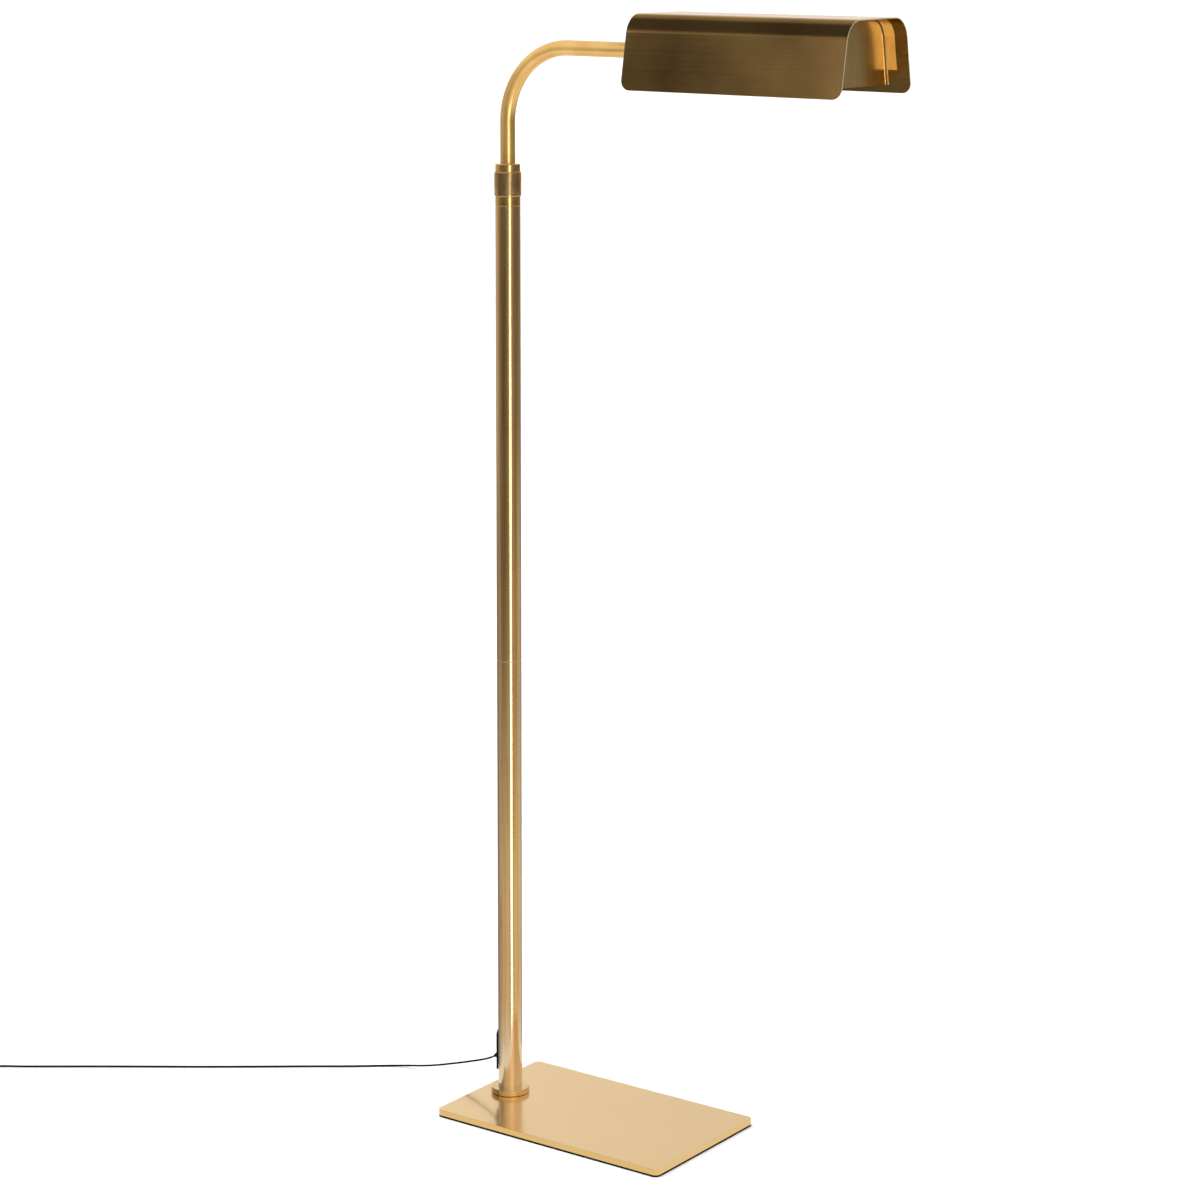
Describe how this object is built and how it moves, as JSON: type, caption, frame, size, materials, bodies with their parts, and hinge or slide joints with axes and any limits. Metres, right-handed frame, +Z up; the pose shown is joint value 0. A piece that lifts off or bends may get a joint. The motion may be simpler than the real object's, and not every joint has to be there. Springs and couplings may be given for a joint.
{
  "type": "floor lamp",
  "caption": "Free-standing reading lamp: a telescoping swing arm locks in a slim pole on a flat plate, and a folded sheet shade tilts on the arm.",
  "frame": {"origin": "on the pole's axis at floor level", "axes": "+Z up along the pole, +X along the base plate and the arm towards the shade, +Y to the back"},
  "size_m": [0.9726, 0.4575, 1.1262],
  "materials": {
    "plate_brass": "satin brass plating on steel",
    "tube_brass": "aged satin brass",
    "turned_brass": "turned and polished brass",
    "knurl_brass": "knurled brass",
    "shade_brass": "antiqued brushed brass outside, polished inside",
    "end_brass": "polished sheet brass",
    "steel": "zinc-plated steel",
    "pad_black": "dense black foam",
    "black_plastic": "moulded, satin",
    "cord_black": "soft vinyl",
    "lead_red": "soft vinyl",
    "nylon": "natural nylon",
    "alloy": "extruded, clear anodised",
    "light_board": "white solder resist",
    "light_chip": "yellow phosphor",
    "opal": "opal diffuser"
  },
  "bodies": {
    "stand": {"base_plate": "plate_brass", "base_pad": "pad_black", "foot_flange": "turned_brass", "foot_plug": "turned_brass", "hold_down_bolt": "steel", "hold_down_washer": "steel", "lower_pole": "tube_brass", "pole_coupler": "turned_brass", "upper_pole": "tube_brass", "top_ferrule": "turned_brass", "collet": "nylon", "cord_gland": "black_plastic", "pole_lead": "cord_black", "cord_lead": "cord_black", "cord_link": "cord_black", "cord_coil": "cord_black", "cord_tail": "cord_black", "cord_tie": "black_plastic", "switch_base": "black_plastic", "switch_cover": "black_plastic", "push_switch": "alloy", "adapter_case": "black_plastic", "adapter_boot": "black_plastic", "adapter_pins": "steel"},
    "lock_collar": {"lock_ring": "knurl_brass", "lock_cap": "turned_brass"},
    "arm_slide": {"guide_bush": "nylon"},
    "arm": {"arm_tube": "tube_brass", "arm_stop": "turned_brass", "bush_clip": "steel", "arm_lead": "cord_black", "swivel_spigot": "turned_brass", "swivel_washers": "nylon", "spring_washer": "steel", "swivel_nut": "turned_brass"},
    "shade": {"shade_shell": "shade_brass", "end_plate_inner": "end_brass", "end_plate_outer": "end_brass", "led_tape": "black_plastic", "led_channel": "alloy", "led_board": "light_board", "led_chips": "light_chip", "led_cover": "opal", "head_lead": "lead_red"},
    "push_button": {"switch_button": "black_plastic"}
  },
  "joints": [
    {"name": "lock_turn", "type": "hinge", "parent": "stand", "child": "lock_collar", "pos_m": [0, 0, 0.95], "axis": [0, 0, 1], "range_deg": [0, 120]},
    {"name": "arm_lift", "type": "slide", "parent": "stand", "child": "arm_slide", "axis": [0, 0, 1], "range_m": [-0.035, 0.32]},
    {"name": "arm_swing", "type": "hinge", "parent": "arm_slide", "child": "arm", "pos_m": [0, 0, 0.95], "axis": [0, 0, 1], "range_deg": [-170, 170]},
    {"name": "shade_tilt", "type": "hinge", "parent": "arm", "child": "shade", "pos_m": [0.205, 0, 1.0895], "axis": [1, 0, 0], "range_deg": [-135, 135]},
    {"name": "button_push", "type": "slide", "parent": "stand", "child": "push_button", "axis": [0, 0, -1], "range_m": [0, 0.0018], "stiffness_N_per_m": 800, "springref_m": -0.0004}
  ]
}
